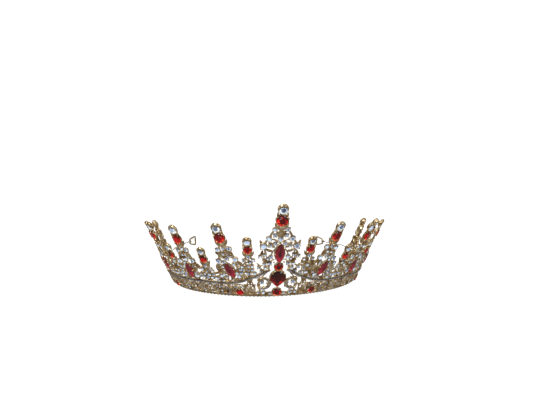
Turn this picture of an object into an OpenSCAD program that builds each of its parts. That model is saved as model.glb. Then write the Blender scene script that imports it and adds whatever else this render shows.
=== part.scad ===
// Crown (tiara) of gilt castings set with red and clear glass stones.
// Millimetres, +Z up. The flat underside of the base rail is z = 0, the front faces -Y,
// the open back faces +Y and the left and right halves mirror each other in X.
// The origin is the middle of the head opening, level with its widest line.
// Every casting is drawn flat, x along the band and y up it, and then stood on the
// oval of the base rail, leaning outward by the flare.

/* [Base oval] */
// Radius of the front arc of the oval
front_r = 78.2; // [74:0.2:82]
// Radius of the two side arcs
side_r = 44; // [42:0.5:46]
// Half of the front arc's angle
front_half = 40; // [38:0.5:42]
// Outward lean of the whole band from the vertical
flare = 21; // [18:0.5:24]
// Arc length from the middle of the front to each end of the band
band_end = 109; // [108:0.5:112]

/* [Base rail] */
// Thickness of the flat wire, across the band
rail_t = 1.5; // [1.2:0.1:1.8]
// Height of the flat wire
rail_h = 3.2; // [2.8:0.1:3.6]

/* [Castings] */
// Thickness of every flat casting
plate_t = 1.4; // [1.2:0.1:1.6]
// Width of the openwork strips
strip_w = 1.5; // [1.2:0.1:1.8]
// Wall of a stone's cup
cup_wall = 0.5; // [0.4:0.05:0.6]
// Height of the centre spike's red stone above the underside, up the slope
centre_red_y = 50.8; // [49:0.2:52]

/* [Stones] */
// Radius of the centre spike's red stone
centre_red_r = 3.3; // [3:0.1:3.4]
// Radius of the tall spikes' red stones
tall_red_r = 3.0; // [2.8:0.1:3.1]
// Radius of the small spikes' red stones
small_red_r = 2.4; // [2.2:0.1:2.5]
// Radius of the clear stones at the tall spikes' tips
tip_r = 2.5; // [2.2:0.05:2.6]
// Radius of the clear stones at the small spikes' tips
small_tip_r = 2.1; // [1.9:0.05:2.2]
// Length of a marquise stone
marquise_l = 10.4; // [9.6:0.1:10.6]
// Width of a marquise stone
marquise_w = 5.0; // [4.6:0.1:5.2]
// Film of glue round every stone
glue = 0.12; // [0.1:0.01:0.14]

/* [Ribbon loops] */
// Radius of the end wires
wire_r = 0.4; // [0.35:0.05:0.45]
// Radius of the ribbon loops' wire
loop_r = 0.7; // [0.6:0.05:0.75]
// Height of the left ribbon loop's middle above the underside; the right one hangs lower
eye_z = 23; // [22:0.5:24]

/* [Hidden] */
SIDES = ["left", "right"];
$fn = 32;

// The oval: the side arcs' centres and the arc length where the front arc ends.
side_x = (front_r - side_r) * sin(front_half);
front_len = front_r * front_half * PI / 180;
front_y = (front_r - side_r) * cos(front_half);
foot_z = 1.2;      // the castings' feet above the underside of the rail

function heading(u) = abs(u) <= front_len ? u / front_r * 180 / PI
  : sign(u) * (front_half + (abs(u) - front_len) / side_r * 180 / PI);
function oval(u) = let (h = heading(u)) abs(u) <= front_len
  ? [front_r * sin(h), front_y - front_r * cos(h)]
  : [sign(u) * side_x + side_r * sin(h), -side_r * cos(h)];

// Spikes, counted from the middle outward: place, width, lean in the band's plane,
// height of the red stone, height and tilt of the marquise (none on the last spike).
tall_u = [26, 51.6, 73, 88, 102.6];
tall_w = [14.5, 12, 13.2, 14.6, 12.5];
tall_lean = [9, 6, 1, 2, 1];
tall_red_y = [40.2, 37.6, 37.4, 36.2, 34.8];
marquise_y = [18.8, 16.6, 18.2, 17.4];
marquise_tilt = [16, 4, 4, 3];
small_u = [15.5, 39.8, 62];
small_w = [5.2, 10.4, 7];
small_lean = [1, 3, 3];
small_red_y = [32.8, 25.4, 25.8];
lean_y = 20;       // height about which a spike leans
tip_rise = 6.1;    // from a tall spike's red stone to its clear tip stone
small_rise = 5.2;  // the same on a small spike

// Bead stones of each casting: [x, y, radius].
centre_beads = [for (s = [-1, 1]) for (b = [[3.6, 45.4, 1.2], [6.6, 39.9, 1.5], [9.4, 35.2, 1.8],
    [4.9, 28.2, 1.1], [8.4, 29.6, 1.0], [5.4, 23.8, 1.1], [8.2, 3, 1.1]]) [s * b[0], b[1], b[2]]];
centre_top_beads = concat(centre_beads, [[0, 39.4, 1.4]]);
function mid_bead_y(n) = tall_red_y[n] - (n == 2 || n == 3 ? 11.6 : 13.6);
function tall_beads(n) = let (y = tall_red_y[n]) concat(
  [for (s = [-1, 1]) for (b = [[3.4, y - 7.3, 1.3], [5.1, y - 14.6, 1.5]]) [s * b[0], b[1], b[2]]],
  [[0, mid_bead_y(n), 1.2]]);
function foot_beads(n) = [for (s = [-1, 1]) [s * (tall_w[n] / 2 - 1.9), n == 0 ? 14.6 : 12.8, 1.2]];
function small_beads(n) = [[0, small_red_y[n] - 4.6, 1.2], [0, n == 0 ? 16.8 : 12.8, 1.2]];
base_red = [[0, 3.2, 2.8], [-4.4, 3.3, 2.4], [-4.2, 3.3, 2.4]]; // centre, spikes 1 and 3
collar = [0, 21.5, 2.5];
pear_y = 14;
scroll_at = [8.6, 10.4];
scroll_r = 3.7;
flank_at = [3.7, 4.6];

// Garland: swoops down from beside the pear stone, then runs level along the band.
sweep_start = [4.5, 20.2];
sweep_end = [31, 9.8];
level_u = 33.6;
garland_w = [plate_t - 0.05, plate_t + 0.7];
pave_r = 0.7;
pave_pitch = 1.7;
function sweep_y(x) = let (t = min(1, (x - sweep_start[0]) / (sweep_end[0] - sweep_start[0])))
  sweep_end[1] + (sweep_start[1] - sweep_end[1]) * pow(1 - t, 1.9);
function sweep_len(x) = norm([1, (sweep_y(x + 0.05) - sweep_y(x - 0.05)) * 10]);
function sweep_x(i) = i == 0 ? sweep_start[0] + 0.9
  : let (x = sweep_x(i - 1)) x + pave_pitch / sweep_len(x);
// The swoop lies on the flat fronts of three castings: their places and its ends on each.
sweep_on = [[0, 4.6, 12.3], [small_u[0], 12.8, 18.3], [tall_u[0], 18.6, 33.2]];
function frame_u(x) = x < 12.6 ? 0 : x < 18.5 ? small_u[0] : tall_u[0];

// Ribbon loops: the eye each one turns in, its heading and its size.
function eye(s) = s == "left" ? [57.2, 32, eye_z] : [54.6, 36.2, eye_z - 2.6];
loop_heading = 128;
loop_len = 6.4;
loop_half = 3.6;
eye_h = 1.6;
fit = 0.05;
wire_start_z = 18;

gold = "goldenrod";
ruby = "crimson";
glass = "lightblue";

// Stands a flat drawing on the oval: x along the band, y up the slope, z outward.
module at(u) {
  translate([oval(u)[0], oval(u)[1], foot_z]) rotate([0, 0, heading(u)]) rotate([90 + flare, 0, 0])
    children();
}
module side(s) { mirror([s == "left" ? 1 : 0, 0, 0]) children(); }
module spot(p, z = 0) { translate([p[0], p[1], z]) children(); }
module lean(a) { translate([0, lean_y, 0]) rotate([0, 0, -a]) translate([0, -lean_y, 0]) children(); }

// Flat shapes.
module strip(p, q, w = strip_w) {
  d = q - p;
  translate(p) circle(d = w);
  translate(q) circle(d = w);
  translate(p) rotate(atan2(d[1], d[0])) translate([0, -w / 2]) square([norm(d), w]);
}
module lens(l, w) {
  r = (l * l / 4 + w * w / 4) / w;
  intersection() {
    translate([r - w / 2, 0]) circle(r, $fn = 96);
    translate([w / 2 - r, 0]) circle(r, $fn = 96);
  }
}
module drop(r, l) {
  a = asin(r / (l - r));
  polygon(concat([[0, r - l]], [for (i = [0:32]) let (t = -a + (180 + 2 * a) * i / 32) r * [cos(t), sin(t)]]));
}
module ring(r, w = strip_w) {
  difference() { circle(r + w / 2); circle(r - w / 2); }
}

// A round cup standing on a casting, and the seat that is cut in it.
cup_floor = 0.7;
function cup_h(r) = cup_floor + 0.9 + 0.25 * r;
module cup(b) { spot(b) cylinder(r = b[2] + glue + cup_wall, h = cup_h(b[2])); }
module seat(b) { spot(b, cup_floor) cylinder(r = b[2] + glue, h = 9); }
module cast(beads) {
  difference() {
    union() { linear_extrude(plate_t) children(); for (b = beads) cup(b); }
    for (b = beads) seat(b);
  }
}
// Lugs behind a casting's foot, soldered to the base rail.
module lugs(w) {
  for (x = [-w / 2 + 2, w / 2 - 2]) translate([x - 1, -0.2, -1.5]) cube([2, 1.9, 1.9]);
}

// Stones: a girdle with a bevelled crown over it and a cone below.
module round_stone(b) {
  r = b[2];
  spot(b, cup_floor + glue) {
    cylinder(r1 = r * 0.55, r2 = r, h = 0.8);
    translate([0, 0, 0.8]) cylinder(r = r, h = 0.2 * r);
    translate([0, 0, 0.8 + 0.2 * r]) cylinder(r1 = r, r2 = r * 0.6, h = 0.35 * r);
  }
}
module long_stone(h) { translate([0, 0, plate_t + glue]) linear_extrude(h) children(); }

module base_rail() {
  color(gold) {
    translate([0, front_y, 0]) rotate([0, 0, 0.3 - 90 - front_half])
      rotate_extrude(angle = 2 * front_half - 0.6, $fn = 180) translate([front_r - rail_t, 0])
        square([rail_t, rail_h]);
    for (s = SIDES) side(s) {
      translate([side_x, 0, 0]) rotate([0, 0, front_half - 89.7])
        rotate_extrude(angle = heading(band_end) - front_half - 0.3, $fn = 120)
          translate([side_r - rail_t, 0]) square([rail_t, rail_h]);
      translate(concat(oval(front_len), 0)) rotate([0, 0, front_half]) translate([-1.2, -0.2, 0])
        cube([2.4, rail_t + 0.4, rail_h + 0.3]);
    }
  }
}

module garland_channel(r, angle) {
  rotate_extrude(angle = angle, $fn = 180) translate([r, foot_z]) rotate(-flare)
    translate([garland_w[0], sweep_end[1] - 0.95]) square([garland_w[1] - garland_w[0], 1.9]);
}
module garland_side(s) {
  side(s) {
    for (f = sweep_on) at(f[0]) spot([0, 0], garland_w[0]) linear_extrude(garland_w[1] - garland_w[0])
      polygon([for (k = [-1, 1]) for (i = [0:10]) let (x = k < 0 ? f[1] + (f[2] - f[1]) * i / 10
        : f[2] - (f[2] - f[1]) * i / 10) [x - f[0], sweep_y(x) + k * 0.95 * sweep_len(x)]]);
    translate([0, front_y, 0]) rotate([0, 0, heading(level_u) - 90])
      garland_channel(front_r, front_half + 1 - heading(level_u));
    translate([side_x, 0, 0]) rotate([0, 0, front_half - 90])
      garland_channel(side_r, heading(band_end - 1) - front_half);
  }
}

module centre_spike() {
  color(gold) at(0) difference() {
    union() {
      cast(concat(centre_top_beads, [[0, centre_red_y, centre_red_r], [0, centre_red_y + 6.3, tip_r],
          collar, base_red[0]])) {
        strip([0, 1.6], [0, centre_red_y + 9]);
        strip([-11.4, 1.5], [11.4, 1.5]);
        translate([0, 30.6]) lens(marquise_l + 2.9, marquise_w + 1.6);
        translate([0, pear_y]) drop(5.2, 12.4);
        for (s = [-1, 1]) {
          translate([s * scroll_at[0], scroll_at[1]]) ring(scroll_r);
          strip([s * 9.6, 2], [s * 9.6, 7.2]);
          strip([s * 8, 14], [s * 5.4, 23.8]);
          strip([s * 5.4, 23.8], [s * 4.9, 28.2]);
          strip([s * 8, 14], [s * 8.4, 29.6]);
          strip([s * 8.4, 29.6], [s * 9.4, 35.2]);
          strip([s * 9.4, 35.2], [s * 3.6, 45.4], 2);
          strip([s * 6.6, 39.9], [0, 39.4]);
          strip([s * 3.6, 45.4], [0, 49]);
          strip([s * 4.9, 28.2], [s * 2, 33]);
          strip([s * 8.4, 29.6], [s * 2, 33]);
        }
      }
      lugs(22.4);
    }
    spot([0, 30.6], plate_t - 0.4) linear_extrude(9) lens(marquise_l + 1.8, marquise_w + 0.5);
    spot([0, pear_y], plate_t - 0.4) linear_extrude(9) drop(4.7, 11.4);
  }
}

module tall_casting(n) {
  w = tall_w[n];
  y = tall_red_y[n];
  cast(concat(foot_beads(n), n == 0 ? [base_red[1]] : n == 2 ? [base_red[2]] : [])) {
    strip([-w / 2 + 0.8, 1.5], [w / 2 - 0.8, 1.5]);
    strip([-w / 2 + 0.8, 9.4], [w / 2 - 0.8, 9.4]);
    for (x = [-w / 2 + 0.8, w / 2 - 0.8]) strip([x, 1.5], [x, 9.4]);
    strip([0, 1.5], [0, 13], 1.1);
    for (s = [-1, 1]) {
      translate([s * (w / 4 - 0.1), 5.4]) ring(w / 4 - 1.1, 1.1);
      strip([s * (w / 2 - 1.9), 9.4], [s * (w / 2 - 1.9), 14]);
      strip([s * (w / 2 - 1.9), 14], [0, 16.5]);
    }
  }
  lean(tall_lean[n]) cast(concat(tall_beads(n), [[0, y, tall_red_r], [0, y + tip_rise, tip_r]])) {
    strip([0, 14], [0, y + tip_rise + 2.6]);
    if (n < 4) translate([0, marquise_y[n]]) rotate(-marquise_tilt[n]) lens(marquise_l + 1.6, marquise_w + 1.4);
    for (s = [-1, 1]) {
      strip([s * 5.1, y - 14.6], [0, mid_bead_y(n)]);
      strip([s * 5.1, y - 14.6], n < 4 ? [s * 1.6, 15.8] : [0, 14], 1.4);
      strip([s * 5.1, y - 14.6], [s * 3.4, y - 7.3]);
      strip([s * 3.4, y - 7.3], [0, y - 2]);
    }
  }
  lugs(w);
}

module tall_spike(n, s) {
  color(gold) side(s) at(tall_u[n]) difference() {
    tall_casting(n);
    if (n < 4) lean(tall_lean[n]) spot([0, marquise_y[n]], plate_t - 0.4) rotate([0, 0, -marquise_tilt[n]])
      linear_extrude(9) lens(marquise_l + 0.5, marquise_w + 0.3);
  }
}

module small_spike(n, s) {
  w = small_w[n];
  y = small_red_y[n];
  stem_y = small_beads(n)[1][1] + 2.15;
  color(gold) side(s) at(small_u[n]) {
    cast([small_beads(n)[1]]) {
      strip([-w / 2 + 0.8, 1.5], [w / 2 - 0.8, 1.5]);
      strip([-w / 2 + 0.8, 9.4], [w / 2 - 0.8, 9.4]);
      for (x = [-w / 2 + 0.8, w / 2 - 0.8]) strip([x, 1.5], [x, 9.4]);
      strip([0, 1.5], [0, 13], 1.1);
      for (k = [-1, 1]) strip([k * (w / 2 - 0.8), 9.4], [0, 15.4]);
    }
    lean(small_lean[n]) cast([small_beads(n)[0], [0, y, small_red_r], [0, y + small_rise, small_tip_r]]) {
      strip([0, stem_y], [0, y + small_rise + 2.2]);
      for (k = [-1, 1]) {
        strip([0, stem_y], [k * 2.6, y - 6.8]);
        strip([k * 2.6, y - 6.8], [0, y - 2]);
      }
    }
    lugs(w);
  }
}

// A C-shaped scroll laid on the front of a casting, open towards the outer side.
module scroll_at_spot(u, p, r) {
  at(u) spot(p, plate_t - 0.05) linear_extrude(1.2) {
    difference() {
      ring(r, 1.6);
      rotate(-35) square([9, 9]);
    }
    rotate(-35) translate([r, 0]) circle(d = 1.6);
    rotate(55) translate([r, 0]) circle(d = 1.6);
  }
}
module centre_scroll(s) { color(gold) side(s) scroll_at_spot(0, scroll_at, scroll_r); }
module flank_scroll(s) { color(gold) side(s) scroll_at_spot(tall_u[0], flank_at, 2.6); }

// End wire: an arc soldered behind the last spike, curving inward and up to a wound eye.
wire_h = heading(tall_u[4]);
wire_in = (wire_start_z - foot_z) * tan(flare) - wire_r + 0.1;
wire_start = concat(oval(tall_u[4]) + wire_in * [sin(wire_h), -cos(wire_h)], wire_start_z);

module end_wire(s) {
  chord = eye(s) - wire_start;
  flat = norm([chord[0], chord[1]]);
  h = atan2(chord[1], chord[0]);
  arc_r = flat / (2 * sin(h - wire_h));
  color("silver") side(s) difference() {
    union() {
      translate(wire_start) rotate([0, 0, h]) rotate([0, -atan2(chord[2], flat), 0])
        rotate([0, 0, wire_h - h]) translate([0, arc_r, 0]) rotate([0, 0, -90])
          rotate_extrude(angle = 2 * (h - wire_h) - 1, $fn = 120) translate([arc_r, 0]) circle(wire_r, $fn = 24);
      translate(eye(s)) translate([0, 0, -eye_h / 2]) cylinder(r = loop_r + 0.5, h = eye_h);
    }
    translate(eye(s)) translate([0, 0, -20]) cylinder(r = loop_r + fit, h = 40);
  }
}

// Ribbon loop: a triangle of thicker wire whose short upright side turns in the eye.
module rod(p, q, r) {
  d = q - p;
  translate(p) rotate([0, atan2(norm([d[0], d[1]]), d[2]), atan2(d[1], d[0])]) cylinder(r = r, h = norm(d));
}
module ribbon_loop(s) {
  corners = [[0, 0, -1.9], [0, 0, 1.9], [loop_len, 0, loop_half], [loop_len, 0, -loop_half]];
  color(gold) side(s) translate(eye(s)) rotate([0, 0, loop_heading])
    for (i = [0:3]) {
      translate(corners[i]) sphere(loop_r + 0.1);
      rod(corners[i], corners[(i + 1) % 4], loop_r);
    }
}

module both() { for (s = SIDES) side(s) children(); }

module large_red_stones() {
  color(ruby) {
    at(0) round_stone([0, centre_red_y, centre_red_r]);
    both() for (n = [0:4]) at(tall_u[n]) lean(tall_lean[n]) round_stone([0, tall_red_y[n], tall_red_r]);
  }
}
module small_red_stones() {
  color(ruby) both() for (n = [0:2]) at(small_u[n]) lean(small_lean[n])
    round_stone([0, small_red_y[n], small_red_r]);
}
module marquise_stones() {
  color("firebrick") {
    at(0) spot([0, 30.6], -0.4) long_stone(1.6) lens(marquise_l + 1.6, marquise_w + 0.3);
    both() for (n = [0:3]) at(tall_u[n]) lean(tall_lean[n]) spot([0, marquise_y[n]], -0.4)
      rotate([0, 0, -marquise_tilt[n]]) long_stone(1.6) lens(marquise_l, marquise_w);
  }
}
module pear_stone() { color("darkred") at(0) spot([0, pear_y], -0.4) long_stone(2.4) drop(4.5, 11); }
module collar_stone() { color(ruby) at(0) round_stone(collar); }
module base_red_stones() {
  color(ruby) {
    at(0) round_stone(base_red[0]);
    both() { at(tall_u[0]) round_stone(base_red[1]); at(tall_u[2]) round_stone(base_red[2]); }
  }
}
module tip_stones() {
  color(glass) {
    at(0) round_stone([0, centre_red_y + 6.3, tip_r]);
    both() {
      for (n = [0:4]) at(tall_u[n]) lean(tall_lean[n]) round_stone([0, tall_red_y[n] + tip_rise, tip_r]);
      for (n = [0:2]) at(small_u[n]) lean(small_lean[n])
        round_stone([0, small_red_y[n] + small_rise, small_tip_r]);
    }
  }
}
module clear_stones_centre() { color(glass) at(0) for (b = centre_top_beads) round_stone(b); }
module clear_stones(s) {
  color(glass) side(s) {
    for (n = [0:4]) at(tall_u[n]) {
      for (b = foot_beads(n)) round_stone(b);
      lean(tall_lean[n]) for (b = tall_beads(n)) round_stone(b);
    }
    for (n = [0:2]) at(small_u[n]) {
      round_stone(small_beads(n)[1]);
      lean(small_lean[n]) round_stone(small_beads(n)[0]);
    }
  }
}
module pave_stone(p) {
  spot(p, garland_w[1] + 0.1) cylinder(r1 = pave_r, r2 = pave_r * 0.6, h = 0.8, $fn = 24);
}
module pave_stones(s) {
  color("gray") side(s) {
    for (i = [0:19]) let (x = sweep_x(i)) at(frame_u(x)) pave_stone([x - frame_u(x), sweep_y(x)]);
    for (u = [level_u + 0.8:pave_pitch:band_end - 1.5]) at(u) pave_stone([0, sweep_end[1]]);
  }
}

base_rail();
for (s = SIDES) {
  color(gold) garland_side(s);
  centre_scroll(s);
  flank_scroll(s);
  end_wire(s);
  ribbon_loop(s);
  clear_stones(s);
  pave_stones(s);
  for (n = [1:5]) tall_spike(n - 1, s);
  for (n = [1:3]) small_spike(n - 1, s);
}
centre_spike();
large_red_stones();
small_red_stones();
marquise_stones();
pear_stone();
collar_stone();
base_red_stones();
tip_stones();
clear_stones_centre();
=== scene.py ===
"""Visual model of the crown: gilt castings, faceted foil-backed stones, wires and ribbon loops."""

import math
import random

import bpy
from mathutils import Matrix, Vector


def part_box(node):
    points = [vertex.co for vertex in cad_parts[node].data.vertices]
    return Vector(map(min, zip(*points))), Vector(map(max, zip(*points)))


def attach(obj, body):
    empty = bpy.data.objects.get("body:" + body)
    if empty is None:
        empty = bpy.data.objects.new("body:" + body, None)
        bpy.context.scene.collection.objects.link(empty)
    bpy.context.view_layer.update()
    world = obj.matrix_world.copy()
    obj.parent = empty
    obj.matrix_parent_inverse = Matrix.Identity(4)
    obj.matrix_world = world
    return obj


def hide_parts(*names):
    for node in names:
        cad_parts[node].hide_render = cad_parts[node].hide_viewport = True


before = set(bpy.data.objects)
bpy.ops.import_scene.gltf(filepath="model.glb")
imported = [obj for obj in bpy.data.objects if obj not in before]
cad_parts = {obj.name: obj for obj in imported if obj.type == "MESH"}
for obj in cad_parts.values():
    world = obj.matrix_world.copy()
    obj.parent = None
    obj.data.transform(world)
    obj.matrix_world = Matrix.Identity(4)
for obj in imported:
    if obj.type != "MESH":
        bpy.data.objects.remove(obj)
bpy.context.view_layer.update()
rng = random.Random(7)

# ---------------------------------------------------------------- the band's shape, in millimetres
MM = 0.001
RAIL_LOW, RAIL_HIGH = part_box("base_rail")
FRONT_R = 78.2  # radius of the oval's front arc
SIDE_R = 44.0  # radius of its side arcs
HALF = math.radians(40)  # half the angle that the front arc takes up
FLARE = math.radians(21)  # outward lean of every casting
FOOT_Z = 1.2  # height at which the castings stand
RAIL_H = (RAIL_HIGH.z - RAIL_LOW.z) / MM - 0.3  # top of the rail
RAIL_T = 1.5  # its thickness
BAND_END = 109.0  # from the front of the band to each end, along the oval
FRONT_LEN = FRONT_R * HALF
SIDE_X = (FRONT_R - SIDE_R) * math.sin(HALF)
FRONT_Y = (FRONT_R - SIDE_R) * math.cos(HALF)

# spikes of one side, front to back: place along the oval, width, sideways lean, height of the red stone
TALL_U = (26, 51.6, 73, 88, 102.6)
TALL_W = (14.5, 12, 13.2, 14.6, 12.5)
TALL_LEAN = (9, 6, 1, 2, 1)
TALL_RED_Y = (40.2, 37.6, 37.4, 36.2, 34.8)
SMALL_U = (15.5, 39.8, 62)
SMALL_W = (5.2, 10.4, 7)
SMALL_LEAN = (1, 3, 3)
SMALL_RED_Y = (32.8, 25.4, 25.8)
LEAN_Y = 20  # a leaning spike turns about this height

# stones: R is a radius, Y a height up the slope
MARQUISE_Y = (18.8, 16.6, 18.2, 17.4)
MARQUISE_TILT = (16, 4, 4, 3)
MARQUISE_LENGTH, MARQUISE_WIDTH = 10.4, 5.0
CENTRE_MARQUISE_Y, CENTRE_MARQUISE_LENGTH, CENTRE_MARQUISE_WIDTH = 30.6, 12, 5.3
CENTRE_RED_Y = 50.8
CENTRE_RED_R, TALL_RED_R, SMALL_RED_R, TIP_R, SMALL_TIP_R = 3.3, 3.0, 2.4, 2.5, 2.1
CENTRE_RISE, TIP_RISE, SMALL_RISE = 6.3, 6.1, 5.2  # from a red stone up to its tip stone
COLLAR_Y, COLLAR_R = 21.5, 2.5
PEAR_Y, PEAR_R, PEAR_LENGTH = 14, 4.5, 11
BASE_RED_R, CENTRE_BASE_RED_R = 2.4, 2.8
BIG_STONE = 1.7  # rounds above this radius have more facets and a heavier setting
UPPER_BEAD = (3.4, 7.3, 1.3)  # beside a tall spike's neck: x, drop below the red stone, radius
LOWER_BEAD = (5.1, 14.6, 1.5)

SWEEP_A, SWEEP_B = (4.5, 20.2), (31.0, 9.8)  # the garland swoops from A down to B
# the eyes of the end wires, drawn on the right side; the wires are bent differently
EYES = {"left": Vector((57.2, 32, 23)), "right": Vector((54.6, 36.2, 20.4))}
LOOP_HEADING = math.radians(128)  # where the loops point at rest, seen from above


def heading(u):
    """Direction of the band at u, the distance along the oval from the front."""
    if abs(u) <= FRONT_LEN:
        return u / FRONT_R
    return math.copysign(HALF + (abs(u) - FRONT_LEN) / SIDE_R, u)


def oval(u):
    h = heading(u)
    if abs(u) <= FRONT_LEN:
        return Vector((FRONT_R * math.sin(h), FRONT_Y - FRONT_R * math.cos(h), 0))
    return Vector((math.copysign(SIDE_X, u) + SIDE_R * math.sin(h), -SIDE_R * math.cos(h), 0))


def at(u):
    """Local frame of a casting: x along the band, y up the slope, z outward."""
    return (
        Matrix.Translation(oval(u) + Vector((0, 0, FOOT_Z)))
        @ Matrix.Rotation(heading(u), 4, "Z")
        @ Matrix.Rotation(math.pi / 2 + FLARE, 4, "X")
    )


def lean(degrees):
    """Sideways turn of the upper part of a spike."""
    return (
        Matrix.Translation((0, LEAN_Y, 0))
        @ Matrix.Rotation(-math.radians(degrees), 4, "Z")
        @ Matrix.Translation((0, -LEAN_Y, 0))
    )


def flip(side):
    """Everything is drawn for the right side and mirrored for the left."""
    return Matrix.Scale(-1, 4, (1, 0, 0)) if side == "left" else Matrix.Identity(4)


# ---------------------------------------------------------------- mesh building
class Piece:
    """Gathers faces in millimetres, placed by its current frame, and becomes one object."""

    def __init__(self, name, material):
        self.name, self.material = name, material
        self.verts, self.faces, self.smooth, self.painted_light = [], [], [], []
        self.frame = Matrix.Identity(4)

    # the last argument gives each face a painted light value (painted shade to painted highlight on stone
    # facets); faces without one get 0.5
    def add(self, verts, faces, smooth=True, painted_lights=None):
        base = len(self.verts)
        mirrored = self.frame.determinant() < 0
        self.verts += [self.frame @ Vector(v) for v in verts]
        for i, face in enumerate(faces):
            ids = [base + k for k in face]
            self.faces.append(ids[::-1] if mirrored else ids)
            self.smooth.append(smooth)
            self.painted_light.append(painted_lights[i] if painted_lights else 0.5)

    def build(self, body, slot, nodes):
        mesh = bpy.data.meshes.new(self.name)
        mesh.from_pydata([v * MM for v in self.verts], [], self.faces)
        mesh.materials.append(self.material)
        mesh.polygons.foreach_set("use_smooth", self.smooth)
        # each face's painted light value, which the stone materials read as painted shade and painted
        # highlight
        painted_light = mesh.attributes.new("painted_light", "FLOAT", "FACE")
        painted_light.data.foreach_set("value", self.painted_light)
        mesh.update()
        obj = bpy.data.objects.new(self.name, mesh)
        bpy.context.scene.collection.objects.link(obj)
        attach(obj, body)
        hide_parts(*nodes)
        return obj


def bridge(rings, closed_ring=True):
    """Faces joining equal rings of points that are stored one after another."""
    count, size = len(rings), len(rings[0])
    faces = []
    for i in range(count - 1):
        for j in range(size if closed_ring else size - 1):
            k = (j + 1) % size
            faces.append([i * size + j, i * size + k, (i + 1) * size + k, (i + 1) * size + j])
    return faces


def tube(piece, points, radius, sides=7, flat=1.0, closed=False):
    """A wire swept along points; radius is a number or one per point; flat squashes it in z."""
    points = [Vector(p) for p in points]
    n = len(points)
    radii = radius if isinstance(radius, (list, tuple)) else [radius] * n
    angles = [2 * math.pi * j / sides for j in range(sides)]
    rings = []
    for i, p in enumerate(points):
        before = points[i - 1] if (i or closed) else p
        after = points[(i + 1) % n] if (i < n - 1 or closed) else p
        along = (after - before).normalized()
        up = Vector((0, 0, 1)) if abs(along.z) < 0.95 else Vector((0, 1, 0))
        across = along.cross(up).normalized()
        up = across.cross(along).normalized()
        rings.append([p + radii[i] * (across * math.cos(a) + up * flat * math.sin(a)) for a in angles])
    if closed:
        rings.append(rings[0])
    verts = [v for r in rings for v in r]
    faces = [f[::-1] for f in bridge(rings)]
    if not closed:
        faces.append(list(range(sides)))
        faces.append(list(range((n - 1) * sides, n * sides))[::-1])
    piece.add(verts, faces)


def curve(a, b, bulge, count, z, lift):
    """Points from a to b on a bow that swells sideways by bulge (and outward by lift)."""
    a, b = Vector((a[0], a[1], z)), Vector((b[0], b[1], z))
    d = b - a
    side = Vector((-d.y, d.x, 0)).normalized() if d.length else Vector((1, 0, 0))
    out = []
    for i in range(count):
        t = i / (count - 1)
        s = math.sin(math.pi * t)
        out.append(a + d * t + side * bulge * s + Vector((0, 0, lift * s)))
    return out


def taper(count, thick, thin):
    """Radii of a wire that swells in the middle; thin is the share that is always kept."""
    swell = [math.sin(math.pi * (0.12 + 0.76 * i / (count - 1))) for i in range(count)]
    return [thick * (thin + (1 - thin) * s) for s in swell]


def vine(piece, a, b, bulge, thick=0.62, z=0.8, lift=0.3):
    """A cast tendril from a to b, thinner at its ends."""
    count = 9
    points = curve(a, b, bulge, count, z, lift)
    tube(piece, points, taper(count, thick, 0.5), 7, 0.85)


def ball(piece, p, r, rows=5, cols=8, squash=1.0):
    """A bead at p, flattened in z by squash."""
    verts = [Vector(p) + Vector((0, 0, r * squash))]
    for i in range(1, rows):
        a = math.pi * i / rows
        for j in range(cols):
            b = 2 * math.pi * j / cols
            x, y, z = math.sin(a) * math.cos(b), math.sin(a) * math.sin(b), squash * math.cos(a)
            verts.append(Vector(p) + r * Vector((x, y, z)))
    verts.append(Vector(p) - Vector((0, 0, r * squash)))
    faces = [[0, 1 + j, 1 + (j + 1) % cols] for j in range(cols)]
    for i in range(rows - 2):
        for j in range(cols):
            a, b = 1 + i * cols + j, 1 + i * cols + (j + 1) % cols
            faces.append([a, a + cols, b + cols, b])
    end = len(verts) - 1
    base = end - cols
    faces += [[end, base + (j + 1) % cols, base + j] for j in range(cols)]
    piece.add(verts, faces)


def leaf(piece, p, angle, length, width, rise=0.9, z=0.5, bend=0.0):
    """A pointed cast leaf with a mid rib and a groove either side, from p towards angle (degrees)."""
    a = math.radians(angle)
    ax, ay = Vector((math.cos(a), math.sin(a), 0)), Vector((-math.sin(a), math.cos(a), 0))
    across = (-1, -0.72, -0.35, 0, 0.35, 0.72, 1)
    height = (0.0, 0.75, 0.45, 1.0, 0.45, 0.75, 0.0)
    rows = 9
    rings = []
    for i in range(rows):
        t = i / (rows - 1)
        w = width / 2 * (0.12 + 0.88 * math.sin(math.pi * t) ** 0.8 * (1.15 - 0.4 * t))
        centre = Vector((p[0], p[1], z)) + ax * length * t + ay * bend * math.sin(math.pi * t * 0.9)
        arch = 0.3 + 0.7 * math.sin(math.pi * t)
        top = [centre + ay * w * s + Vector((0, 0, rise * h * arch)) for s, h in zip(across, height)]
        under = [centre + ay * w * s * 0.9 - Vector((0, 0, 0.45)) for s in (1, 0, -1)]
        rings.append(top + under)
    verts = [v for r in rings for v in r]
    faces = [f[::-1] for f in bridge(rings)]
    size = len(rings[0])
    faces.append(list(range(size)))
    faces.append(list(range((rows - 1) * size, rows * size))[::-1])
    piece.add(verts, faces)


def lathe(piece, p, profile, cols):
    """A turned shape about z at p; profile is (radius, z) points, and flat faces close both ends."""
    angles = [2 * math.pi * j / cols for j in range(cols)]
    rings = [[Vector(p) + Vector((r * math.cos(b), r * math.sin(b), z)) for b in angles] for r, z in profile]
    faces = bridge(rings)
    faces.append(list(range(cols))[::-1])
    last = (len(rings) - 1) * cols
    faces.append([last + j for j in range(cols)])
    piece.add([v for r in rings for v in r], faces)


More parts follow.
